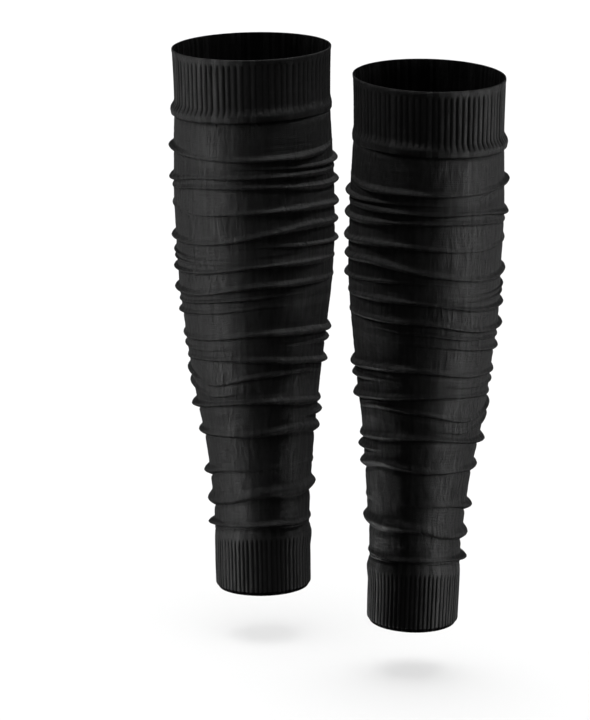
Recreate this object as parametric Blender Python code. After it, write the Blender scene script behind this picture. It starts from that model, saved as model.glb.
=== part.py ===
# A pair of knitted leg sleeves, filled out as they are worn, from below the knee to the ankle.
# Each sleeve is a ribbed top cuff, a slouched tube with uneven folds, and a ribbed ankle cuff.
# Metres, +Z up, +X to the viewer's right, +Y away from the viewer.
# The origin is the middle of the left sleeve's top opening, where a leg goes in and holds it.

import math
from collections import namedtuple

import bmesh
import bpy

MM = 0.001

# Driving sizes of one sleeve, in mm. Heights are measured down from the top rim.
LENGTH = 405.0
SEAM_GAP = 0.3
TUBE_WALL = 1.7
CUFF_WALL = 2.2
TOP_RIBS = 77
ANKLE_RIBS = 64
RIB_HEIGHT = 0.7
INSIDE_FOLLOWS = 0.8  # the share of the outside's folds that a wall's inside follows
CLOSE_FOLDS = 12.5  # folds nearer than this to the one above have no shoulder of their own
BOW_HEIGHT = 0.7  # under 1, the leg bows most above the middle of the sleeve

# The form of every fold in section, as shares of its height and of how far it stands out. A shoulder or a
# crease takes no more than NEXT_SHARE of the way to the next fold.
SHOULDER_RISE = 0.62
SHOULDER_SHARE = 0.25
CREASE_DROP = 0.40
CREASE_SHARE = 0.12
NEXT_SHARE = 0.45

# The top cuff's rolled lower edge: where it starts and where it is fullest, as shares of the cuff's height,
# then how far it stands out at the front, how much less on the leg's inner side, and how far at the seam
ROLL_START = 0.76
ROLL_CREST = 0.90
ROLL_PROUD = 2.0
ROLL_LESS = 0.9
ROLL_FOOT = 0.5

# The ankle cuff's bulge under the last fold, in the same way, but fuller on the leg's inner side
BULGE_CREST = 0.16
BULGE_END = 0.42
BULGE_PROUD = 0.9
BULGE_MORE = 0.6
BULGE_FOOT = 0.2

# How finely the walls are divided round the leg
TUBE_COLUMNS = 32
INSIDE_COLUMNS = 24

# The eight directions that a height is given for, as degrees to the right of the front
DIRECTIONS = (-90, -45, 0, 45, 90, 135, 180, 225)

# Sections down the leg: half its width, its depth over its width, how far its middle lies back, and how far
# it lies towards the leg's outer side
Section = namedtuple("Section", "down half_width depth_ratio back outward")
SECTIONS = (
    Section(0, 58.2, 1.00, 0.0, 0.0),
    Section(22, 57.5, 1.00, 0.5, 0.2),
    Section(45, 57.3, 1.00, 1.0, 0.3),
    Section(75, 58.3, 1.01, 2.5, 0.2),
    Section(105, 59.0, 1.02, 4.0, 0.2),
    Section(135, 58.6, 1.02, 4.0, 0.0),
    Section(165, 57.2, 1.02, 3.0, 0.6),
    Section(195, 54.0, 1.02, 1.5, 1.1),
    Section(225, 50.0, 1.02, -0.5, 1.3),
    Section(255, 45.9, 1.02, -2.5, 1.5),
    Section(285, 41.3, 1.02, -4.0, 0.3),
    Section(315, 38.0, 1.02, -5.0, 0.0),
    Section(345, 35.4, 1.02, -5.5, 0.0),
    Section(375, 35.3, 1.01, -5.5, 0.0),
    Section(405, 35.3, 1.01, -5.5, 0.0),
)

# Where a cuff meets the tube, as the depth below the top rim in each of the eight directions
TOP_SEAM = (49, 48.2, 46, 45.3, 46.8, 46.5, 47, 48.5)
ANKLE_SEAM = (361, 357.5, 356, 356.5, 358, 359.5, 360.5, 361)

# The folds of the tube from top to bottom. The first eight columns are the depth of the fold's crest below
# the top rim in each direction. proud is how far the crest stands out where it is strongest, at is that
# direction in degrees, reach is how many degrees away it has faded, and least is the share that is left
# there. tall is the fold's height in section.
Fold = namedtuple(
    "Fold",
    "left front_left front front_right right back_right back back_left proud at reach least tall",
)
FOLDS = (
    Fold(71.5, 74, 73.3, 72.9, 70.3, 70.6, 73, 73, 4.4, -90, 180, 0.15, 10),
    Fold(79.5, 81, 80.4, 81.7, 83.3, 81.6, 81, 81, 3.3, 95, 80, 0.00, 8),
    Fold(95.5, 89.1, 86.8, 86.7, 89.3, 89.6, 90, 92, 3.6, -90, 180, 0.15, 10),
    Fold(101.5, 96.3, 93.6, 96.5, 99.3, 98.6, 98, 100, 3.5, 90, 180, 0.25, 9),
    Fold(114.5, 116.2, 112.3, 111.6, 116.6, 113.6, 112, 113, 3.3, 85, 180, 0.35, 9),
    Fold(138.4, 138.2, 130.7, 124.9, 129.6, 131.6, 134, 137, 3.3, -80, 180, 0.70, 10),
    Fold(144.5, 144, 138.1, 139.9, 144.1, 143.6, 143, 144, 2.8, 100, 80, 0.00, 8),
    Fold(162.5, 159.8, 152.8, 152.1, 156.3, 157.6, 160, 162, 2.8, -80, 180, 0.25, 9),
    Fold(178.3, 176.2, 167.6, 167.4, 170.3, 170.6, 173, 176, 3.4, -75, 180, 0.25, 10),
    Fold(195, 190.2, 183.6, 182.4, 185.3, 187.6, 190, 193, 3.3, -95, 100, 0.10, 9),
    Fold(212.4, 210.2, 204, 204.6, 210.1, 206.6, 206, 209, 3.5, 80, 180, 0.55, 10),
    Fold(220, 218.5, 213.1, 213.4, 217.8, 216.6, 217, 219, 2.8, 110, 90, 0.20, 8),
    Fold(229, 225.3, 223.4, 227.4, 233.8, 230.6, 227, 228, 3.8, 75, 180, 0.20, 11),
    Fold(237.8, 244.5, 236.3, 233.9, 240.8, 238.6, 236, 237, 3.6, -80, 105, 0.00, 9),
    Fold(247.5, 253, 247.1, 245.9, 249.8, 247.6, 246, 247, 3.2, -90, 75, 0.00, 9),
    Fold(265.3, 260.2, 254.9, 257.4, 263.3, 260.6, 260, 263, 5.0, -85, 180, 0.40, 12),
    Fold(274.5, 270, 266.1, 268.4, 271.8, 271.6, 271, 273, 3.6, 100, 55, 0.00, 9),
    Fold(285, 283, 280.8, 277.2, 284.3, 283.1, 282, 284, 3.6, -90, 180, 0.80, 13),
    Fold(316.2, 310.5, 307.1, 306.4, 309.8, 312.6, 313, 315, 5.2, -100, 110, 0.12, 13),
    Fold(337.5, 334.7, 326.3, 325.4, 325.8, 329.6, 334, 336.5, 4.1, -80, 180, 0.75, 18),
    Fold(356.3, 353, 351.1, 351.9, 352.3, 353.1, 355, 356, 4.6, -90, 180, 0.15, 10),
)

# The two sleeves as they hang: the middle of the top opening, the leans in degrees, how far the calf bows
# from the straight line between the two openings, and the share of the sections' width that the sleeve
# fills. The right sleeve is the left one's mirror image, but its seams and folds start slid mm lower and lie
# closer together by the share closer.
Sleeve = namedtuple("Sleeve", "name x y z tilt_forward lean_out bow_right bow_forward mirrored girth slid closer")
SLEEVES = (
    Sleeve("left", 0.0, 0.0, 0.0, 0.0, 1.2, 0.0, 0.0, False, 1.0, 0.0, 1.0),
    Sleeve("right", 127.8, -100.0, -3.0, 2.0, 1.45, 0.8, 10.0, True, 0.94, 0.5, 0.9935),
)

CLOTH_COLOUR = (0.012, 0.012, 0.013, 1.0)
CLOTH_ROUGHNESS = 0.85


def clear_scene():
    for thing in list(bpy.data.objects):
        bpy.data.objects.remove(thing, do_unlink=True)


def curve_through(before, start, end, after, share):
    # A smooth curve from start to end, which leaves them as their neighbours point
    rise_start = (end - before) / 2
    rise_end = (after - start) / 2
    s2, s3 = share**2, share**3
    return (
        (2 * s3 - 3 * s2 + 1) * start
        + (s3 - 2 * s2 + share) * rise_start
        + (3 * s2 - 2 * s3) * end
        + (s3 - s2) * rise_end
    )


def around(values, angle):
    # A height that is given in the eight directions, read at any angle round the leg
    turn = ((angle - DIRECTIONS[0]) % 360) / 45
    i = int(turn) % 8
    return curve_through(values[i - 1], values[i], values[(i + 1) % 8], values[(i + 2) % 8], turn - int(turn))


def height_at(sleeve, values, angle):
    return sleeve.slid + sleeve.closer * around(values, angle)


def section_at(down):
    last = len(SECTIONS) - 1
    i = max(0, min(last - 1, sum(section.down <= down for section in SECTIONS) - 1))
    before, start, end, after = (SECTIONS[max(0, min(last, k))] for k in (i - 1, i, i + 1, i + 2))
    share = (down - start.down) / (end.down - start.down)
    return Section(*(curve_through(*four, share) for four in zip(before, start, end, after)))


def leg_point(sleeve, down, angle, out):
    # A point of the sleeve, out mm outside the leg's own section
    section = section_at(down)
    turn = math.radians(angle)
    side = -1 if sleeve.mirrored else 1
    bow = math.sin(math.pi * (down / LENGTH) ** BOW_HEIGHT)
    width = section.half_width * sleeve.girth
    across = side * ((width + out) * math.sin(turn) - section.outward) + bow * sleeve.bow_right
    deep = section.back - (width * section.depth_ratio + out) * math.cos(turn) - bow * sleeve.bow_forward
    return across * MM, deep * MM, -down * MM


def fold_strength(fold, angle):
    away = abs((angle - fold.at + 180) % 360 - 180)
    fade = 0.5 + 0.5 * math.cos(math.pi * min(1.0, away / fold.reach))
    return fold.proud * (fold.least + (1 - fold.least) * fade)


def parted(index):
    # Whether a fold lies clear of the one above it, by the mean distance of their crests
    above = FOLDS[index - 1][:8] if index else TOP_SEAM
    return sum(FOLDS[index][:8]) - sum(above) > len(DIRECTIONS) * CLOSE_FOLDS


def tube_profile(sleeve, angle):
    # The tube's outer wall at one angle, as how far down and how far out it goes from the top seam to the
    # ankle seam. Over each fold the wall swells from a shoulder to the crest, and it turns sharply in to a
    # crease under the crest. Folds that lie close together share the crease between them.
    first = height_at(sleeve, TOP_SEAM, angle) + SEAM_GAP / 2
    last = height_at(sleeve, ANKLE_SEAM, angle) - SEAM_GAP / 2
    crests = [height_at(sleeve, fold[:8], angle) for fold in FOLDS]
    profile = [(first, 0.0)]
    for i, (fold, above, crest, below) in enumerate(zip(FOLDS, [first] + crests, crests, crests[1:] + [last])):
        proud = fold_strength(fold, angle)
        shoulder = min(SHOULDER_RISE * fold.tall, NEXT_SHARE * (crest - above))
        crease = min(CREASE_DROP * fold.tall, NEXT_SHARE * (below - crest))
        if parted(i):
            profile.append((crest - shoulder, SHOULDER_SHARE * proud))
        profile += [(crest, proud), (crest + crease, -CREASE_SHARE * proud)]
    profile.append((last, 0.0))
    return profile


def top_cuff_profile(sleeve, angle):
    # The top cuff's outer wall: straight down from the rim to a waist, then a rolled lower edge that stands
    # out more on the outer side of the leg
    bottom = height_at(sleeve, TOP_SEAM, angle) - SEAM_GAP / 2
    roll = ROLL_PROUD - ROLL_LESS * math.sin(math.radians(angle))
    return [(0.0, 0.0), (ROLL_START * bottom, 0.0), (ROLL_CREST * bottom, roll), (bottom, ROLL_FOOT)]


def ankle_cuff_profile(sleeve, angle):
    # The ankle cuff's outer wall, which bulges a little under the last fold, more on the leg's inner side
    top = height_at(sleeve, ANKLE_SEAM, angle) + SEAM_GAP / 2
    tall = LENGTH - top
    bulge = BULGE_PROUD + BULGE_MORE * math.sin(math.radians(angle))
    return [(top, 0.0), (top + BULGE_CREST * tall, bulge), (top + BULGE_END * tall, BULGE_FOOT), (LENGTH, 0.0)]


def inner_wall(profile_at, wall, follow):
    # The inside of a wall, which follows the outside's folds by a share of their depth
    def inside(sleeve, angle):
        return [(down, follow * out - wall) for down, out in profile_at(sleeve, angle)]

    return inside


def rings_of(sleeve, profile_at, columns, raised):
    # The rings of a wall from top to bottom, each with a point at every column
    angles = [360 * column / columns for column in range(columns)]
    profiles = [profile_at(sleeve, angle) for angle in angles]
    rings = []
    for level in range(len(profiles[0])):
        ring = []
        for column, angle in enumerate(angles):
            down, out = profiles[column][level]
            ring.append(leg_point(sleeve, down, angle, out + raised(column)))
        rings.append(ring)
    return rings


def skin(shape, rings):
    # Joins the rings into one open wall, and returns the points of its first and last ring
    first = bmesh.ops.create_circle(shape, cap_ends=False, radius=1.0, segments=len(rings[0]))["verts"]
    for vert, point in zip(first, rings[0]):
        vert.co = point
    edges = list({edge for vert in first for edge in vert.link_edges})
    last = first
    for ring in rings[1:]:
        made = bmesh.ops.extrude_edge_only(shape, edges=edges)["geom"]
        fresh = {part for part in made if isinstance(part, bmesh.types.BMVert)}
        edges = [part for part in made if isinstance(part, bmesh.types.BMEdge) and fresh.issuperset(part.verts)]
        last = [next(found for found in (edge.other_vert(vert) for edge in vert.link_edges) if found in fresh)
                for vert in last]
        for vert, point in zip(last, ring):
            vert.co = point
    return first, last


def stitch(shape, outer, inner):
    # Closes the wall's edge between two rings that start at the same angle, whatever their counts
    i = j = 0
    while i < len(outer) or j < len(inner):
        a, b = outer[i % len(outer)], inner[j % len(inner)]
        if (i + 1) * len(inner) <= (j + 1) * len(outer):
            i += 1
            shape.faces.new((a, outer[i % len(outer)], b))
        else:
            j += 1
            shape.faces.new((a, inner[j % len(inner)], b))


def close_wall(name, holder, outside, inside, material):
    # Closes an outer and an inner wall into one body of cloth
    shape = bmesh.new()
    outer_top, outer_bottom = skin(shape, outside)
    inner_top, inner_bottom = skin(shape, inside)
    stitch(shape, outer_top, inner_top)
    stitch(shape, outer_bottom, inner_bottom)
    bmesh.ops.triangulate(shape, faces=shape.faces, quad_method="SHORT_EDGE")
    bmesh.ops.recalc_face_normals(shape, faces=shape.faces)
    if shape.calc_volume(signed=True) < 0:
        bmesh.ops.reverse_faces(shape, faces=shape.faces)
    mesh = bpy.data.meshes.new(name)
    shape.to_mesh(mesh)
    shape.free()
    mesh.shade_smooth()
    mesh.set_sharp_from_angle(angle=math.radians(60))
    mesh.materials.append(material)
    piece = bpy.data.objects.new(name, mesh)
    piece.parent = holder
    bpy.context.collection.objects.link(piece)
    return piece


def plain(column):
    return 0.0


def ribbed(column):
    # Every other point round a cuff lies in the groove between two ribs
    return -RIB_HEIGHT if column % 2 else 0.0


def make_piece(name, sleeve, holder, profile_at, wall, columns, raised, material):
    inside_at = inner_wall(profile_at, wall, INSIDE_FOLLOWS)
    outside = rings_of(sleeve, profile_at, columns, raised)
    inside = rings_of(sleeve, inside_at, INSIDE_COLUMNS, plain)
    return close_wall(f"{sleeve.name}_{name}", holder, outside, inside, material)


def cloth_material(name):
    material = bpy.data.materials.new(name)
    material.use_nodes = True
    shader = material.node_tree.nodes["Principled BSDF"]
    shader.inputs["Base Color"].default_value = CLOTH_COLOUR
    shader.inputs["Roughness"].default_value = CLOTH_ROUGHNESS
    shader.inputs["Metallic"].default_value = 0.0
    return material


def hang_sleeve(sleeve):
    # The empty at the middle of the top opening carries the sleeve's three pieces and its leans
    holder = bpy.data.objects.new(f"{sleeve.name}_sleeve", None)
    side = 1 if sleeve.mirrored else -1
    holder.location = (sleeve.x * MM, sleeve.y * MM, sleeve.z * MM)
    holder.rotation_euler = (math.radians(sleeve.tilt_forward), math.radians(side * sleeve.lean_out), 0.0)
    bpy.context.collection.objects.link(holder)
    return holder


def make_sleeve(sleeve):
    holder = hang_sleeve(sleeve)
    rib_knit = cloth_material(f"{sleeve.name} rib knit")
    plain_knit = cloth_material(f"{sleeve.name} plain knit")
    make_piece("top_cuff", sleeve, holder, top_cuff_profile, CUFF_WALL, 2 * TOP_RIBS, ribbed, rib_knit)
    make_piece("leg_tube", sleeve, holder, tube_profile, TUBE_WALL, TUBE_COLUMNS, plain, plain_knit)
    make_piece("ankle_cuff", sleeve, holder, ankle_cuff_profile, CUFF_WALL, 2 * ANKLE_RIBS, ribbed, rib_knit)


def main():
    clear_scene()
    for sleeve in SLEEVES:
        make_sleeve(sleeve)
    bpy.context.view_layer.update()


main()
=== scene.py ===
import math

import bmesh
import bpy
from mathutils import Euler, Matrix, Vector, noise


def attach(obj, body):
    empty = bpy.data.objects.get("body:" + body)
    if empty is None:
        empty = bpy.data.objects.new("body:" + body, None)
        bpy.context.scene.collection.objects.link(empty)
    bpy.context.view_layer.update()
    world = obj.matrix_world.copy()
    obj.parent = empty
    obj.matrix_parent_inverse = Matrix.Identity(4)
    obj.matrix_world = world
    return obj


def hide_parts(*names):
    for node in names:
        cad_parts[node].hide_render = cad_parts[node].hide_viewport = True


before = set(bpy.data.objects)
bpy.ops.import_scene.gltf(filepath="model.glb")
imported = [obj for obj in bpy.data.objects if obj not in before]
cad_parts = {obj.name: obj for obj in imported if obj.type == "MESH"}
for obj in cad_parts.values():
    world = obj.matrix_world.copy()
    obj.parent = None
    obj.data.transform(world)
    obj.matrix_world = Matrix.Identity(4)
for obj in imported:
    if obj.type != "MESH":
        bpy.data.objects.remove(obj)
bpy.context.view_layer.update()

mm = 0.001


# Camera

photoCamera = {
    "eye": (0.0319, -4.0857, 0.7382),  # metres
    "pitch": 76.6,  # degrees from straight down
    "lens": 283.85,
    "farthest": 60,  # metres
}


def makeCamera():
    data = bpy.data.cameras.new("photoCamera")
    data.lens = photoCamera["lens"]
    data.clip_end = photoCamera["farthest"]
    eye = bpy.data.objects.new("photoCamera", data)
    eye.location = photoCamera["eye"]
    eye.rotation_euler = (math.radians(photoCamera["pitch"]), 0, 0)
    bpy.context.scene.collection.objects.link(eye)
    bpy.context.scene.camera = eye


makeCamera()
print("camera set")


# The leg that the cloth is filled out to

leg = {
    "length": 405,
    "bowHeight": 0.7,  # under 1, the leg bows most above the middle
    "usualRadius": 50,  # waves of noise are sized for a leg of this radius
    # down, half width, depth over width, how far back, how far to the outer side
    "sections": [
        (0, 58.2, 1.00, 0.0, 0.0),
        (22, 57.5, 1.00, 0.5, 0.2),
        (45, 57.3, 1.00, 1.0, 0.3),
        (75, 58.3, 1.01, 2.5, 0.2),
        (105, 59.0, 1.02, 4.0, 0.2),
        (135, 58.6, 1.02, 4.0, 0.0),
        (165, 57.2, 1.02, 3.0, 0.6),
        (195, 54.0, 1.02, 1.5, 1.1),
        (225, 50.0, 1.02, -0.5, 1.3),
        (255, 45.9, 1.02, -2.5, 1.5),
        (285, 41.3, 1.02, -4.0, 0.3),
        (315, 38.0, 1.02, -5.0, 0.0),
        (345, 35.4, 1.02, -5.5, 0.0),
        (375, 35.3, 1.01, -5.5, 0.0),
        (405, 35.3, 1.01, -5.5, 0.0),
    ],
    # how far down the two seams lie, in eight directions
    "topSeam": (49, 48.2, 46, 45.3, 46.8, 46.5, 47, 48.5),
    "ankleSeam": (361, 356.8, 354.3, 355.3, 357.5, 359, 360, 361),
    "seamGap": 0.05,
}

sleeves = {
    "left": {
        "place": (0, 0, 0),
        "tiltForward": 0.0,
        "leanOut": 1.2,
        "bowRight": 0.0,
        "bowForward": 0.0,
        "mirrored": False,
        "girth": 1.0,
        "slide": (0, 1.0),
        "seed": 4.0,
    },
    "right": {
        "place": (127.8, -100, -3),
        "tiltForward": 2.0,
        "leanOut": 1.45,
        "bowRight": 0.8,
        "bowForward": 10.0,
        "mirrored": True,
        "girth": 0.94,
        "slide": (0.5, 0.9935),  # its seams and folds lie this much lower, and closer together
        "seed": 19.0,
    },
}


def curveThrough(before, start, end, after, share):
    riseStart = (end - before) / 2
    riseEnd = (after - start) / 2
    s2 = share ** 2
    s3 = share ** 3
    return ((2 * s3 - 3 * s2 + 1) * start + (s3 - 2 * s2 + share) * riseStart
            + (3 * s2 - 2 * s3) * end + (s3 - s2) * riseEnd)


def around(values, angle):
    # eight values are given from the left side (-90 degrees) over the front (0), every 45 degrees
    turn = ((angle + 90) % 360) / 45
    i = int(turn) % 8
    near = [values[(i + k) % 8] for k in (-1, 0, 1, 2)]
    return curveThrough(*near, turn - int(turn))


def sectionAt(down):
    rows = leg["sections"]
    last = len(rows) - 1
    i = max(0, min(last - 1, sum(row[0] <= down for row in rows) - 1))
    four = [rows[max(0, min(last, k))] for k in (i - 1, i, i + 1, i + 2)]
    share = (down - four[1][0]) / (four[2][0] - four[1][0])
    return [curveThrough(*values, share) for values in zip(*four)]


def legPoint(sleeve, down, angle, out):
    # a point of the cloth, out mm outside the leg's own section
    _, halfWidth, depthRatio, back, outward = sectionAt(down)
    turn = math.radians(angle)
    side = -1 if sleeve["mirrored"] else 1
    bow = math.sin(math.pi * (max(0, down) / leg["length"]) ** leg["bowHeight"])
    width = halfWidth * sleeve["girth"]
    across = side * ((width + out) * math.sin(turn) - outward) + bow * sleeve["bowRight"]
    deep = back - (width * depthRatio + out) * math.cos(turn) - bow * sleeve["bowForward"]
    return Vector((across, deep, -down)) * mm


def hangingPlace(sleeve):
    side = 1 if sleeve["mirrored"] else -1
    lean = Euler((math.radians(sleeve["tiltForward"]), math.radians(side * sleeve["leanOut"]), 0))
    return Matrix.LocRotScale(Vector(sleeve["place"]) * mm, lean, None)


def seamAt(sleeve, seam, angle):
    lower, closer = sleeve["slide"]
    return lower + closer * around(leg[seam], angle)


def smooth(x):
    x = max(0, min(1, x))
    return x * x * (3 - 2 * x)


def ripple(sleeve, angle, down, across, tall, salt):
    # smooth noise from -1 to 1 on the cloth, with waves about across mm wide and tall mm high;
    # another salt gives another pattern
    turn = math.radians(angle)
    radius = leg["usualRadius"] / across
    return noise.noise(Vector((radius * math.sin(turn) + salt, radius * math.cos(turn) + sleeve["seed"],
                               down / tall + 3 * salt)))


# Cloth walls

def softMin(a, b):
    # the smaller of two lengths, with a soft change from one to the other
    a = max(a, 0.01)
    b = max(b, 0.01)
    return (a ** -4 + b ** -4) ** -0.25


def edgeRound(start, end, bulge, steps):
    # points over a wall's cut edge, from one face to the other, for a rounded hem or rim
    found = []
    for k in range(1, steps):
        turn = math.pi * k / steps
        share = (1 - math.cos(turn)) / 2
        point = [a + share * (b - a) for a, b in zip(start, end)]
        point[0] += bulge * math.sin(turn)
        found.append(tuple(point))
    return found


def rollPanel(name, sleeve, columns, wayRound, knit):
    # a flat grid is rolled up: its columns go round the leg, its rows once round the wall's own section;
    # wayRound gives a column's rows, each with how far down it lies, how far out of the leg, how many
    # degrees it drifts sideways, 1 where the face takes the darker, duller inside knit (painted shade on the
    # inside and on the ankle's turned-in hem), and from 0 to 1 how much ribs show
    ways = [wayRound(column) for column in range(columns)]
    rows = len(ways[0])
    cloth = bmesh.new()
    flat = cloth.loops.layers.uv.new("knit")
    ribsShown = cloth.verts.layers.float.new("ribsShown")
    bmesh.ops.create_grid(cloth, x_segments=columns, y_segments=rows, size=1, calc_uvs=True)
    for face in cloth.faces:
        found = [round((corner.vert.co.y + 1) / 2 * rows) for corner in face.loops]
        # faces flagged 1 take the darker, duller inside knit: painted shade on the inside and the turned-in
        # hem
        face.material_index = 1 if ways[0][min(found)][3] > 0.5 else 0
        for corner, row in zip(face.loops, found):
            corner[flat].uv.y = 1 - ways[0][row % rows][0] / leg["length"]
    for point in cloth.verts:
        column = round((point.co.x + 1) / 2 * columns) % columns
        row = round((point.co.y + 1) / 2 * rows) % rows
        down, out, drift, _, point[ribsShown] = ways[column][row]
        point.co = legPoint(sleeve, down, 360 * column / columns - 90 + drift, out)
    bmesh.ops.remove_doubles(cloth, verts=cloth.verts, dist=1e-6)
    bmesh.ops.recalc_face_normals(cloth, faces=cloth.faces)
    if cloth.calc_volume(signed=True) < 0:
        bmesh.ops.reverse_faces(cloth, faces=cloth.faces)
    bmesh.ops.transform(cloth, matrix=hangingPlace(sleeve), verts=cloth.verts)
    for face in cloth.faces:
        face.smooth = True
    mesh = bpy.data.meshes.new(name)
    cloth.to_mesh(mesh)
    cloth.free()
    mesh.materials.append(cloths[knit])
    mesh.materials.append(cloths["insideKnit"])
    piece = bpy.data.objects.new(name, mesh)
    bpy.context.scene.collection.objects.link(piece)
    return piece


# The leg tube, slouched into folds

tube = {
    "columns": 192,
    "wall": 1.2,
    "flat": (0.360, 0.360),  # metres, lying flat and slack, at its widest
    "flatArea": 0.11,
    "insideFollows": 0.85,  # share of a fold that the inside follows
    "edgeBulge": 0.1,
    "edgeRows": 4,
    "seamTuck": (0.2, 0.8, 1.1, 1.0, 0.4, 0.5, 0.5, 0.4),  # how far the cloth turns in at both seams
    "seamTuckTall": 3.0,
    "ankleTuck": 0.6,  # tuck at the ankle's seam, over the one at the top seam
    # from the left side round to the left back, as the folds: the shares of a fold's height above
    # and below its crest
    "upperShare": (0.44, 0.60, 0.54, 0.44, 0.40, 0.55, 0.60, 0.50),
    "lowerShare": (0.32, 0.20, 0.27, 0.42, 0.38, 0.42, 0.45, 0.40),
    "creaseShare": 0.34,  # depth of the crease under a fold, over how proud the fold is
    "flank": 1.25,  # over 1, the cloth rises more gently into a fold
    "weakTall": 0.55,  # how tall a fold still is where it dies out, over its full height
    "reachUp": 0.48,  # most of the way to the fold above that a fold's upper side takes
    "reachDown": 0.46,  # and its lower side, to the fold below
    "settleShare": 0.8,  # way over which the crease settles, over the lower side's height
    "settleReach": 0.6,  # and the most of the way to the next fold's foot
    "upperRows": 5,
    "lowerRows": 4,
    "settleRows": 2,
    "insideKeeps": (0, 3),  # the rows of a fold's upper side that the inside has too
    "insideEvery": 3,  # and every third plain row
    "plainRow": 1.9,  # height of a row where the cloth is plain
    # shares of a fold's height that stay free above and below its crest when plain rows are counted
    "usualAbove": 0.6,
    "usualBelow": 0.3,
    # each kind of unevenness: how strong, and for noise how wide and tall its waves are, and its salt
    "crestDrift": (0.7, 35, 1, 0),
    "proudDrift": (0.2, 25, 1, 40),
    "wrinkle": (0.22, 20, 3, 7.7),
    "unevenness": (0.5, 45, 30, 1.5),
    "calmAtSeams": 4,  # mm from a seam over which the unevenness rises
    # heights of each fold's crest from the left side round to the left back, how proud it stands
    # there, and how tall it is
    "folds": [
        ((71.5, 74, 73.3, 72.9, 70.3, 70.6, 73, 73), (3.9, 1, 1.9, 2.8, 0.3, 0.8, 1, 2.2), 10),
        ((79.5, 81, 80.4, 81.7, 83.3, 81.6, 81, 81), (0, 0, 0.4, 1.6, 3.5, 1.5, 0.5, 0), 8),
        ((95.5, 89.1, 86.8, 86.7, 89.3, 89.6, 90, 92), (3.4, 1.1, 1.8, 2.8, 0.6, 0.8, 1, 2), 10),
        ((101.5, 96.3, 93.6, 96.5, 99.3, 98.6, 98, 100), (0.9, 1.2, 1.8, 2.4, 3.6, 2, 1.2, 1), 9),
        ((114.5, 116.2, 112.3, 111.6, 116.6, 113.6, 112, 113), (1.2, 0.4, 1.7, 3, 3.4, 1.8, 1.2, 1), 9),
        ((138.4, 138.2, 130.7, 124.9, 129.6, 131.6, 134, 137), (3.2, 1.5, 2.4, 3, 2.7, 1.6, 1.4, 2.4), 10),
        ((144.5, 144, 138.1, 139.9, 144.1, 143.6, 143, 144), (0, 0, 0.4, 1.6, 3, 1.5, 0.6, 0), 8),
        ((149.5, 149.5, 144.6, 143.4, 147.8, 146.6, 147, 147.5), (2.2, 0.4, 0, 0, 0, 0, 0, 0.8), 5),
        ((154.5, 153.5, 148.6, 146.4, 150.8, 150.6, 152, 153), (1.8, 0.3, 0, 0, 0, 0, 0, 0.6), 5),
        ((162.5, 159.8, 152.8, 152.1, 156.3, 157.6, 160, 162), (2.9, 1.7, 2.2, 2.4, 0.7, 0.8, 1.2, 2), 9),
        ((178.3, 176.2, 167.6, 167.4, 170.3, 170.6, 173, 176), (3.6, 1.9, 2.3, 1.9, 0.7, 1, 1.2, 2.2), 10),
        ((186.5, 182.2, 176.1, 173.9, 176.8, 178.6, 181.5, 184.5), (1, 1.5, 1, 0, 0, 0, 0, 0.5), 6),
        ((195, 190.2, 183.6, 182.4, 185.3, 187.6, 190, 193), (2.9, 1.1, 0.5, 0, 0, 0, 0.4, 1.4), 9),
        ((212.4, 210.2, 204, 204.6, 210.1, 206.6, 206, 209), (2, 1.3, 1.8, 3.2, 3.5, 2, 1.4, 1.6), 10),
        ((220, 218.5, 213.1, 213.4, 217.8, 216.6, 217, 219), (1.8, 0.3, 0, 0.6, 3, 1.4, 0.6, 0.9), 8),
        ((229, 225.3, 223.4, 227.4, 233.8, 230.6, 227, 228), (1.2, 1.3, 1.8, 2.4, 3.8, 2, 1, 1), 11),
        ((237.8, 244.5, 236.3, 233.9, 240.8, 238.6, 236, 237), (2.9, 1.1, 1.9, 1, 0, 0, 0.6, 1.5), 9),
        ((247.5, 253, 247.1, 245.9, 249.8, 247.6, 246, 247), (2.4, 1.3, 0, 0, 0, 0, 0.5, 1.2), 9),
        ((265.3, 260.2, 254.9, 257.4, 263.3, 260.6, 260, 263), (4.6, 2.1, 2.5, 2.9, 2, 1.6, 1.8, 3), 12),
        ((274.5, 270, 266.1, 268.4, 271.8, 271.6, 271, 273), (0, 0, 0, 0.1, 3.8, 1.4, 0.4, 0), 9),
        ((285, 283, 280.8, 277.2, 284.3, 283.1, 282, 284), (3.5, 1.8, 2.2, 2.2, 3.4, 2.2, 1.8, 2.4), 13),
        ((316.2, 310.5, 307.1, 306.4, 309.8, 312.6, 313, 315), (4.6, 1, 0.4, 0, 0.6, 0.8, 1, 2.6), 13),
        ((337.5, 334.7, 326.3, 325.4, 325.8, 329.6, 334, 336.5), (4.1, 1.7, 2.2, 2.8, 3.7, 2.4, 2, 2.8), 19),
        ((356.3, 353, 351.1, 351.9, 352.3, 353.1, 355, 356), (4.9, 1.8, 2.5, 2.2, 0.9, 1, 1.6, 2.8), 10),
    ],
}


def plainRowCounts():
    # how many rows lie in the plain cloth above each fold, and below the last
    top = sum(leg["topSeam"]) / 8
    bottom = sum(leg["ankleSeam"]) / 8
    crests = [top] + [sum(heights) / 8 for heights, _, _ in tube["folds"]] + [bottom]
    talls = [0] + [tall for _, _, tall in tube["folds"]] + [0]
    counts = []
    for i in range(1, len(crests)):
        taken = tube["usualAbove"] * talls[i] + tube["usualBelow"] * talls[i - 1]
        plain = crests[i] - crests[i - 1] - taken
        counts.append(max(1, round(plain / tube["plainRow"])))
    return counts


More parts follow.
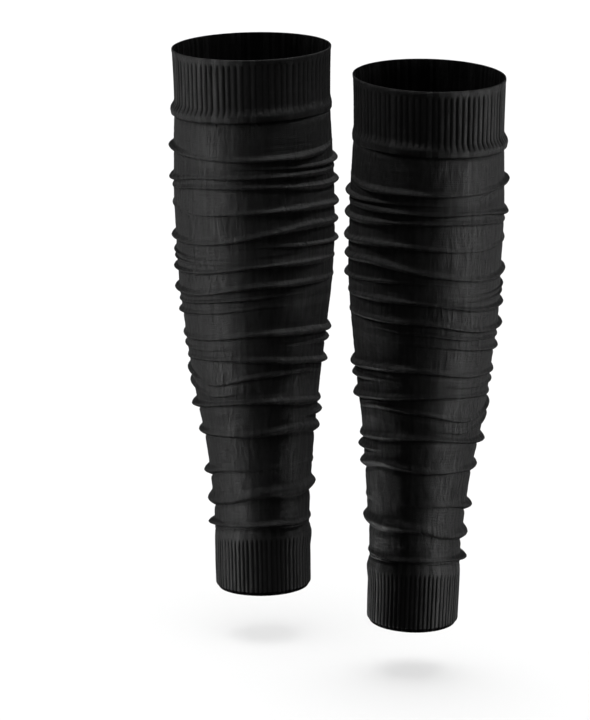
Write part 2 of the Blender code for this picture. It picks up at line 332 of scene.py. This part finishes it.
def foldsAt(sleeve, angle):
    # each fold where it crosses one upright line of the leg: its crest, how proud, how far up and down
    top = seamAt(sleeve, "topSeam", angle)
    bottom = seamAt(sleeve, "ankleSeam", angle)
    crests = []
    prouds = []
    talls = []
    lower, closer = sleeve["slide"]
    drift, driftWide, driftTall, driftSalt = tube["crestDrift"]
    uneven, unevenWide, unevenTall, unevenSalt = tube["proudDrift"]
    weak = tube["weakTall"]
    for i, (heights, strengths, tall) in enumerate(tube["folds"]):
        moved = drift * ripple(sleeve, angle, 0, driftWide, driftTall, i + driftSalt)
        crests.append(closer * around(heights, angle) + lower + moved)
        strength = max(0, around(strengths, angle))
        changed = uneven * ripple(sleeve, angle, 0, unevenWide, unevenTall, i + unevenSalt)
        prouds.append(strength * (1 + changed))
        talls.append(tall * (weak + (1 - weak) * strength / max(strengths)))
    above = [top] + crests[:-1]
    below = crests[1:] + [bottom]
    upperShare = around(tube["upperShare"], angle)
    lowerShare = around(tube["lowerShare"], angle)
    uppers = []
    lowers = []
    for crest, tall, foldAbove, foldBelow in zip(crests, talls, above, below):
        uppers.append(softMin(upperShare * tall, tube["reachUp"] * (crest - foldAbove)))
        lowers.append(softMin(lowerShare * tall, tube["reachDown"] * (foldBelow - crest)))
    return list(zip(crests, prouds, uppers, lowers))


def clothUnevenness(sleeve, angle, down, top, bottom):
    calm = smooth((down - top) / tube["calmAtSeams"]) * smooth((bottom - down) / tube["calmAtSeams"])
    broad, *broadWaves = tube["unevenness"]
    fine, *fineWaves = tube["wrinkle"]
    uneven = broad * ripple(sleeve, angle, down, *broadWaves) + fine * ripple(sleeve, angle, down, *fineWaves)
    tuckedTop = 1 - smooth((down - top) / tube["seamTuckTall"])
    tuckedBottom = 1 - smooth((bottom - down) / tube["seamTuckTall"])
    return calm * uneven - around(tube["seamTuck"], angle) * (tuckedTop + tube["ankleTuck"] * tuckedBottom)


def tubeWay(sleeve, column):
    angle = 360 * column / tube["columns"] - 90
    top = seamAt(sleeve, "topSeam", angle) + leg["seamGap"]
    bottom = seamAt(sleeve, "ankleSeam", angle) - leg["seamGap"]
    folds = foldsAt(sleeve, angle)
    feet = [crest - upper for crest, _, upper, _ in folds] + [bottom]
    outside = []  # down, out, and whether the inside has this row too
    level = top
    for i, (crest, proud, upper, lower) in enumerate(folds):
        count = plainRows[i]
        for k in range(count):
            outside.append((level + k / count * (feet[i] - level), 0, k % tube["insideEvery"] == 0))
        for k in range(tube["upperRows"]):
            share = k / tube["upperRows"]
            out = proud * smooth(share) ** tube["flank"]
            outside.append((feet[i] + share * upper, out, k in tube["insideKeeps"]))
        outside.append((crest, proud, True))
        crease = tube["creaseShare"] * proud
        for k in range(1, tube["lowerRows"] + 1):
            share = k / tube["lowerRows"]
            out = proud - (proud + crease) * (1 - math.cos(math.pi / 2 * share))
            outside.append((crest + share * lower, out, k == tube["lowerRows"]))
        settle = softMin(tube["settleShare"] * lower, tube["settleReach"] * (feet[i + 1] - crest - lower))
        for k in range(1, tube["settleRows"] + 1):
            share = k / tube["settleRows"]
            out = -crease * (1 - share) ** 2
            outside.append((crest + lower + share * settle, out, k == tube["settleRows"]))
        level = crest + lower + settle
    count = plainRows[-1]
    for k in range(1, count + 1):
        kept = k % tube["insideEvery"] == 0 or k == count
        outside.append((level + k / count * (bottom - level), 0, kept))
    face = []
    inside = []
    for down, out, kept in outside:
        out += clothUnevenness(sleeve, angle, down, top, bottom)
        face.append((down, out, 0, 0, 0))
        if kept:
            inside.append((down, tube["insideFollows"] * out - tube["wall"], 0, 1, 0))
    inside.reverse()
    hem = edgeRound(face[-1], inside[0], tube["edgeBulge"], tube["edgeRows"])
    rim = edgeRound(inside[-1], face[0], -tube["edgeBulge"], tube["edgeRows"])
    return face + hem + inside + rim


# The ribbed cuffs

cuffs = {
    "top_cuff": {
        "ribs": 77,
        "seamAbove": None,
        "seamBelow": "topSeam",
        "wall": 1.7,
        # share of the height, how far out, and how much less of it (or more) on the right side
        "profile": [(0, 0, 0), (0.76, 0, 0), (0.90, 2.0, -0.9), (0.97, 1.6, -0.7), (1, 0.1, 0)],
        "ribDeep": 0.75,
        "ribsFrom": 0.05,
        "ribsTo": 0.82,
        "hemShadeFrom": 2,  # share of the height from which the outside, where it turns in, takes the darker inside knit: painted shade along the hem
        "rimProud": 0.3,
        "knit": "ribKnitTop",
        "flat": (0.320, 0.047),  # metres, lying flat and slack
    },
    "ankle_cuff": {
        "ribs": 64,
        "seamAbove": "ankleSeam",
        "seamBelow": None,
        "wall": 1.7,
        "profile": [
            (0, -0.6, 0), (0.05, 0.3, 0.2), (0.16, 0.9, 0.6), (0.42, 0.2, 0), (0.94, 0.05, 0), (1, -1.7, 0),
        ],
        "ribDeep": 0.5,
        "ribsFrom": 0.12,
        "ribsTo": 0.97,
        "hemShadeFrom": 0.945,
        "rimProud": 0.0,
        "knit": "ribKnitAnkle",
        "flat": (0.205, 0.046),
    },
}

ribbing = {
    "columns": 8,  # mesh columns across one rib
    "faceRows": 36,
    "insideRows": 18,
    "fade": 0.09,  # share of the cuff's height over which ribs rise
    "ribPower": 0.9,  # under 1, ribs are fuller and grooves narrower
    "uneven": 0.22,  # how far a groove lies from its even place, over a rib's width
    "insideDeep": 0.45,  # inside grooves, over the outside ones
    "ownDeep": (0.95, 0.8, 0.1),  # a groove's own depth: usual, how far it changes, and least
    "ownDeepTall": 30,
    "rimProudFrom": 1.2,  # mm down from the rim, to where it stands proud in full
    "rimProudFade": 1.6,
    "sway": (0.18, 14, 25, 5.5),  # degrees; then width and height of its waves, and salt
    "unevenness": (0.3, 40, 30, 2.5),
    "seamBulge": 0.15,  # of a cuff's edge at a seam
    "freeBulge": 0.6,  # of a cuff's free edge
    "edgeRows": 5,
}


def profileAt(profile, share, angle):
    i = max(0, min(len(profile) - 2, sum(point[0] <= share for point in profile) - 1))
    (shareA, outA, moreA), (shareB, outB, moreB) = profile[i:i + 2]
    part = smooth((share - shareA) / (shareB - shareA))
    side = math.sin(math.radians(angle))
    return (outA + moreA * side) * (1 - part) + (outB + moreB * side) * part


def cuffWay(sleeve, cuff, column):
    columns = cuff["ribs"] * ribbing["columns"]
    angle = 360 * column / columns - 90
    rib = column // ribbing["columns"]
    across = column % ribbing["columns"] / ribbing["columns"]
    high = math.sin(math.pi * across) ** ribbing["ribPower"]  # 0 in the groove, 1 on the rib
    # each rib's own noise; 2.71, 9.1 and 3.37 only keep the patterns apart
    moved = [noise.noise(Vector(((rib + k) % cuff["ribs"] * 2.71, 9.1, sleeve["seed"]))) for k in (0, 1)]
    moved = ribbing["uneven"] * 360 / cuff["ribs"] * (moved[0] * (1 - across) + moved[1] * across)
    top = 0
    bottom = leg["length"]
    if cuff["seamAbove"]:
        top = seamAt(sleeve, cuff["seamAbove"], angle) + leg["seamGap"]
    if cuff["seamBelow"]:
        bottom = seamAt(sleeve, cuff["seamBelow"], angle) - leg["seamGap"]
    usual, change, least = ribbing["ownDeep"]
    sway, *swayWaves = ribbing["sway"]
    uneven, *unevenWaves = ribbing["unevenness"]

    def pointAt(part, isInside):
        share = (part + smooth(part)) / 2  # rows lie closer at both ends
        down = top + share * (bottom - top)
        out = profileAt(cuff["profile"], share, angle)
        out += uneven * ripple(sleeve, angle, down, *unevenWaves)
        sunk = smooth((down - top - ribbing["rimProudFrom"]) / ribbing["rimProudFade"])
        out += cuff["rimProud"] * (1 - sunk)
        shown = smooth((share - cuff["ribsFrom"]) / ribbing["fade"])
        shown *= 1 - smooth((share - cuff["ribsTo"]) / ribbing["fade"])
        own = noise.noise(Vector((rib * 3.37, down / ribbing["ownDeepTall"], sleeve["seed"])))
        groove = cuff["ribDeep"] * max(least, usual + change * own) * shown * (1 - high)
        drift = moved + sway * shown * ripple(sleeve, angle, down, *swayWaves)
        if isInside:
            rise = ribbing["insideDeep"] * cuff["ribDeep"] * shown * (high - 0.5)
            return down, out - cuff["wall"] - rise, drift, 1, shown
        # the outside's last rows at the turned-in hem take the darker inside knit: painted shade
        return down, out - groove, drift, 1 if share > cuff["hemShadeFrom"] else 0, shown

    face = [pointAt(k / ribbing["faceRows"], False) for k in range(ribbing["faceRows"] + 1)]
    inside = [pointAt(1 - k / ribbing["insideRows"], True) for k in range(ribbing["insideRows"] + 1)]
    hemBulge = ribbing["seamBulge"] if cuff["seamBelow"] else ribbing["freeBulge"]
    rimBulge = ribbing["seamBulge"] if cuff["seamAbove"] else ribbing["freeBulge"]
    hem = edgeRound(face[-1], inside[0], hemBulge, ribbing["edgeRows"])
    rim = edgeRound(inside[-1], face[0], -rimBulge, ribbing["edgeRows"])
    return face + hem + inside + rim


# Materials

knitGrey = (0.013, 0.013, 0.0132)
darkTone = 0.4  # of knitGrey, at the low end of the shade factor: dark random streaks and bands, and painted shade in the stitch hollows and rib grooves
lightTone = 1.6  # at its high end: light random streaks and bands, and the high yarns, lighter than the painted shade in their hollows
smoother = 0.2  # how much smoother high yarns are than deep ones

# wales, courses and bands are counted round and down a whole piece, relief is in mm, and bandTone,
# streaks and grooves say how strongly each shows; grooves dip the bump and darken the colour in the rib
# grooves, which is painted shade
knits = {
    "plainKnit": {
        "wales": 240,
        "courses": 360,
        "bands": 120,
        "bandTone": 0.5,
        "streaks": 2.6,
        "grooves": 0,
        "relief": 0.9,
        "roughness": 0.46,
        "gloss": 0.5,
        "tone": 1,
    },
    "ribKnitTop": {
        "wales": 77 * 4,
        "courses": 360,
        "bands": 77,
        "bandTone": 1.3,
        "streaks": 1.5,
        "grooves": 2.6,
        "relief": 0.6,
        "roughness": 0.48,
        "gloss": 0.44,
        "tone": 1.3,
    },
    "ribKnitAnkle": {
        "wales": 64 * 4,
        "courses": 360,
        "bands": 64,
        "bandTone": 1.2,
        "streaks": 1.5,
        "grooves": 2.6,
        "relief": 0.6,
        "roughness": 0.45,
        "gloss": 0.54,
        "tone": 1.3,
    },
    # a darker, duller copy of the same knit for the inside faces and the ankle's turned-in hem: painted shade
    "insideKnit": {
        "wales": 77 * 4,
        "courses": 360,
        "bands": 150,
        "bandTone": 2.0,
        "streaks": 2.6,
        "grooves": 0,
        "relief": 0.6,
        "roughness": 0.7,
        "gloss": 0.06,
        "tone": 0.45,
    },
}


def calc(tree, operation, *values):
    node = tree.nodes.new("ShaderNodeMath")
    node.operation = operation
    for socket, value in zip(node.inputs, values):
        if isinstance(value, bpy.types.NodeSocket):
            tree.links.new(value, socket)
        else:
            socket.default_value = value
    return node.outputs[0]


# the knit's four kinds of noise: waves in a metre, two ways across and down, and detail; then how
# strongly each shows in the height and in the shade, beside the stitches and grooves
grains = {
    "streak": ((290, 290, 62), 4),
    "crinkle": ((55, 55, 330), 2),
    "patch": ((30, 30, 36), 1),
    "fuzz": ((1300, 1300, 1300), 1),
}
inHeight = {"stitch": 0.35, "streak": 8.0, "crinkle": 0.55, "fuzz": 0.12, "groove": 0.35}
# in the colour's shade factor; the stitch term darkens the stitch hollows, which is painted shade
inShade = {"stitch": 0.35, "fuzz": 0.3, "all": 0.2}
stitchForm = {
    "slant": 1.4,  # how far a strand climbs from a wale's middle to its side, in courses
    "flatness": 0.6,  # under 1, strands are flatter
    "grooveNarrow": 3,  # the higher, the narrower a groove: its dip, and its dark line of painted shade
}


def stretchedNoise(tree, place, grain):
    scale, detail = grains[grain]
    node = tree.nodes.new("ShaderNodeMapping")
    node.inputs["Scale"].default_value = scale
    tree.links.new(place, node.inputs["Vector"])
    waves = tree.nodes.new("ShaderNodeTexNoise")
    waves.inputs["Scale"].default_value = 1
    waves.inputs["Detail"].default_value = detail
    waves.inputs["Distortion"].default_value = 0.5
    tree.links.new(node.outputs["Vector"], waves.inputs["Vector"])
    return waves.outputs["Fac"]


def makeKnitGroup():
    # stitches in upright wales, from the piece's own UV map, with faint upright streaks and crinkles;
    # bands and grooves follow the ribs, and grooves show only where ribs do; the shade factor is darker in
    # the stitch hollows and the grooves, which is painted shade
    tree = bpy.data.node_groups.new("knitStitches", "ShaderNodeTree")
    for name in ("Flat Place", "Place"):
        tree.interface.new_socket(name, in_out="INPUT", socket_type="NodeSocketVector")
    for name in ("Wales", "Courses", "Bands", "Band Tone", "Streaks", "Grooves", "Ribs Shown"):
        tree.interface.new_socket(name, in_out="INPUT", socket_type="NodeSocketFloat")
    for name in ("Height", "Shade"):
        tree.interface.new_socket(name, in_out="OUTPUT", socket_type="NodeSocketFloat")
    given = tree.nodes.new("NodeGroupInput").outputs
    result = tree.nodes.new("NodeGroupOutput").inputs
    split = tree.nodes.new("ShaderNodeSeparateXYZ")
    tree.links.new(given["Flat Place"], split.inputs[0])

    def times(a, b):
        return calc(tree, "MULTIPLY", a, b)

    def addTo(total, part, strength):
        return calc(tree, "MULTIPLY_ADD", part, strength, total)

    def offMiddle(turned):
        # 0 in the middle of each wale or band, 0.5 at its sides
        return calc(tree, "ABSOLUTE", calc(tree, "SUBTRACT", calc(tree, "FRACT", turned), 0.5))

    fromMiddle = offMiddle(times(split.outputs["X"], given["Wales"]))
    yarn = calc(tree, "SINE", times(fromMiddle, 2 * math.pi))
    course = times(split.outputs["Y"], given["Courses"])
    slanted = calc(tree, "FRACT", calc(tree, "ADD", course, times(fromMiddle, stitchForm["slant"])))
    strand = calc(tree, "SINE", times(slanted, math.pi))
    stitch = calc(tree, "POWER", times(yarn, strand), stitchForm["flatness"])
    streak, crinkle, patch, fuzz = [stretchedNoise(tree, given["Place"], grain) for grain in grains]
    streaky = calc(tree, "SUBTRACT", streak, 0.5)
    gathered = times(times(patch, patch), streaky)
    turned = times(split.outputs["X"], given["Bands"])
    band = tree.nodes.new("ShaderNodeTexWhiteNoise")
    band.noise_dimensions = "1D"
    tree.links.new(calc(tree, "FLOOR", turned), band.inputs["W"])
    # rib grooves: a dip in the height, and painted shade that darkens the colour in each groove
    groove = calc(tree, "POWER", times(offMiddle(turned), 2), stitchForm["grooveNarrow"])
    groove = times(times(groove, given["Grooves"]), given["Ribs Shown"])

    height = times(gathered, inHeight["streak"])
    height = addTo(height, stitch, inHeight["stitch"])
    height = addTo(height, crinkle, inHeight["crinkle"])
    height = addTo(height, fuzz, inHeight["fuzz"])
    height = addTo(height, groove, -inHeight["groove"])
    shade = times(streaky, given["Streaks"])
    # painted shade: the colour is darker in the stitch hollows
    shade = addTo(shade, stitch, inShade["stitch"])
    shade = addTo(shade, fuzz, inShade["fuzz"])
    shade = addTo(shade, band.outputs["Value"], given["Band Tone"])
    shade = addTo(shade, given["Band Tone"], -0.5)
    # painted shade: the colour darkens in the rib grooves
    shade = calc(tree, "ADD", calc(tree, "SUBTRACT", shade, groove), inShade["all"])
    tree.links.new(height, result["Height"])
    tree.links.new(shade, result["Shade"])
    return tree


def makeKnit(name):
    look = knits[name]
    material = bpy.data.materials.new(name)
    material.use_nodes = True
    tree = material.node_tree
    shader = tree.nodes["Principled BSDF"]
    place = tree.nodes.new("ShaderNodeTexCoord")
    knit = tree.nodes.new("ShaderNodeGroup")
    knit.node_tree = knitGroup
    for socket, value in (("Wales", "wales"), ("Courses", "courses"), ("Bands", "bands"),
                          ("Band Tone", "bandTone"), ("Streaks", "streaks"), ("Grooves", "grooves")):
        knit.inputs[socket].default_value = look[value]
    tree.links.new(place.outputs["UV"], knit.inputs["Flat Place"])
    tree.links.new(place.outputs["Object"], knit.inputs["Place"])
    ribs = tree.nodes.new("ShaderNodeAttribute")
    ribs.attribute_name = "ribsShown"
    tree.links.new(ribs.outputs["Fac"], knit.inputs["Ribs Shown"])
    # the base colour runs from darkTone to lightTone with the shade factor, which holds random tone and
    # painted shade
    mix = tree.nodes.new("ShaderNodeMix")
    mix.data_type = "RGBA"
    for socket, tone in (("A", darkTone), ("B", lightTone)):
        mix.inputs[socket].default_value = [tone * look["tone"] * part for part in knitGrey] + [1]
    tree.links.new(knit.outputs["Shade"], mix.inputs["Factor"])
    tree.links.new(mix.outputs["Result"], shader.inputs["Base Color"])
    dull = calc(tree, "MULTIPLY_ADD", knit.outputs["Shade"], -smoother, look["roughness"] + smoother / 2)
    tree.links.new(dull, shader.inputs["Roughness"])
    bump = tree.nodes.new("ShaderNodeBump")
    bump.inputs["Distance"].default_value = look["relief"] * mm
    tree.links.new(knit.outputs["Height"], bump.inputs["Height"])
    tree.links.new(bump.outputs["Normal"], shader.inputs["Normal"])
    shader.inputs["Specular IOR Level"].default_value = look["gloss"]
    return material


knitGroup = makeKnitGroup()
cloths = {name: makeKnit(name) for name in knits}
print("materials made")


# The six pieces

plainRows = plainRowCounts()
pieces = []


def finishPiece(piece, node):
    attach(piece, "root")
    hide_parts(node)
    pieces.append(piece)


for side, sleeve in sleeves.items():
    piece = rollPanel(side + "_tube_cloth", sleeve, tube["columns"],
                      lambda column: tubeWay(sleeve, column), "plainKnit")
    finishPiece(piece, side + "_leg_tube")
    for part, cuff in cuffs.items():
        columns = cuff["ribs"] * ribbing["columns"]
        piece = rollPanel(side + "_" + part + "_cloth", sleeve, columns,
                          lambda column: cuffWay(sleeve, cuff, column), cuff["knit"])
        finishPiece(piece, side + "_" + part)
    print(side, "sleeve rolled up")
for piece in pieces:
    print(piece.name, len(piece.data.polygons) * 2, "triangles")


# Floor and light

studio = {
    "floorBelow": 445,
    "floorSize": 12,  # metres
    "floorWhite": 0.8,
    "floorFill": 1.69,
    # strength, degrees across, and degrees by which it leans to the back and to the right
    "shadows": {"left": (1.1, 52, 8, 4), "right": (1.3, 54, -12, -1)},
    "ambient": 0.03,
    # the left sleeve's boxes: degrees round from the front, degrees up, metres from the sleeve's
    # middle, width, height, power; the right sleeve's are their mirror images
    "boxes": {
        "key": (-100, -6, 2.2, 0.8, 2.8, 18),
        "keyRear": (-112, -6, 2.2, 0.4, 2.8, 10),
        "keyFront": (-80, -6, 2.2, 0.4, 2.8, 2.5),
        "high": (15, 72, 2.2, 0.5, 0.5, 15),
        "highRear": (102, 52, 2.2, 0.3, 0.3, 18),
        "edge": (114, -38, 0.7, 0.12, 0.3, 0.3),
        "lowFront": (0, -20, 2.2, 1.0, 0.8, 2.0),
    },
    # what is left of a box's power on the right sleeve, and a box that it alone has, mirrored too
    "rightShares": {"high": 0.35, "highRear": 0.75, "lowFront": 0.4},
    "rightBoxes": {"rim": (132, -45, 0.5, 0.1, 0.2, 0.25)},
}


def makeGroup(name, members):
    group = bpy.data.collections.new(name)
    bpy.context.scene.collection.children.link(group)
    for member in members:
        group.objects.link(member)
    return group


def makeFloor():
    floor = bmesh.new()
    bmesh.ops.create_grid(floor, x_segments=1, y_segments=1, size=studio["floorSize"])
    bmesh.ops.translate(floor, verts=floor.verts, vec=(0, 0, -studio["floorBelow"] * mm))
    mesh = bpy.data.meshes.new("paleFloor")
    floor.to_mesh(mesh)
    floor.free()
    paint = bpy.data.materials.new("palePaint")
    paint.use_nodes = True
    shader = paint.node_tree.nodes["Principled BSDF"]
    shader.inputs["Base Color"].default_value = (studio["floorWhite"],) * 3 + (1,)
    shader.inputs["Roughness"].default_value = 1
    shader.inputs["Specular IOR Level"].default_value = 0
    mesh.materials.append(paint)
    stage = bpy.data.objects.new("paleFloor", mesh)
    bpy.context.scene.collection.objects.link(stage)
    stage.visible_diffuse = False
    stage.visible_glossy = False
    return stage


def makeSun(name, strength, softness, lit, shadow=True, lean=(0, 0), blockers=None):
    data = bpy.data.lights.new(name, "SUN")
    data.energy = strength
    data.angle = math.radians(softness)
    data.use_shadow = shadow
    lamp = bpy.data.objects.new(name, data)
    bpy.context.scene.collection.objects.link(lamp)
    lamp.rotation_euler = (math.radians(lean[0]), math.radians(-lean[1]), 0)
    lamp.light_linking.receiver_collection = lit
    if blockers:
        lamp.light_linking.blocker_collection = blockers
    return lamp


def makeSoftBox(side, name, box, lit):
    # each sleeve is lit from its own outer side, and the other one casts no shade on it
    sleeve = sleeves[side]
    turn, rise, distance, wide, tall, power = box
    if sleeve["mirrored"]:
        turn = -turn
        power *= studio["rightShares"].get(name, 1)
    turn = math.radians(turn)
    rise = math.radians(rise)
    name = side + name[0].upper() + name[1:]
    data = bpy.data.lights.new(name, "AREA")
    data.shape = "RECTANGLE"
    data.size = wide
    data.size_y = tall
    data.energy = power
    lamp = bpy.data.objects.new(name, data)
    bpy.context.scene.collection.objects.link(lamp)
    middle = hangingPlace(sleeve) @ Vector((0, 0, -leg["length"] / 2 * mm))
    way = Vector((math.sin(turn) * math.cos(rise), -math.cos(turn) * math.cos(rise), math.sin(rise)))
    lamp.location = middle + distance * way
    lamp.rotation_euler = way.to_track_quat("Z", "Y").to_euler()
    lamp.visible_camera = False
    lamp.light_linking.receiver_collection = lit
    lamp.light_linking.blocker_collection = lit
    return lamp


def makeWorld():
    # white to the camera, and a little even light for everything else
    world = bpy.data.worlds.new("studioWorld")
    world.use_nodes = True
    tree = world.node_tree
    seen = tree.nodes.new("ShaderNodeLightPath")
    white = tree.nodes.new("ShaderNodeBackground")
    mix = tree.nodes.new("ShaderNodeMixShader")
    even = tree.nodes["Background"]
    even.inputs["Color"].default_value = (1, 1, 1, 1)
    even.inputs["Strength"].default_value = studio["ambient"]
    white.inputs["Color"].default_value = (1, 1, 1, 1)
    tree.links.new(seen.outputs["Is Camera Ray"], mix.inputs["Fac"])
    tree.links.new(even.outputs["Background"], mix.inputs[1])
    tree.links.new(white.outputs["Background"], mix.inputs[2])
    tree.links.new(mix.outputs["Shader"], tree.nodes["World Output"].inputs["Surface"])
    bpy.context.scene.world = world


floorGroup = makeGroup("floorGroup", [makeFloor()])
makeWorld()
makeSun("floorFill", studio["floorFill"], 1, floorGroup, shadow=False)
for side, sleeve in sleeves.items():
    lit = makeGroup(side + "Group", [piece for piece in pieces if piece.name.startswith(side)])
    boxes = studio["boxes"] | (studio["rightBoxes"] if sleeve["mirrored"] else {})
    for name, box in boxes.items():
        makeSoftBox(side, name, box, lit)
    strength, softness, back, right = studio["shadows"][side]
    makeSun(side + "Shadow", strength, softness, floorGroup, lean=(back, right), blockers=lit)
bpy.context.scene.view_settings.view_transform = "Standard"
print("studio lit")
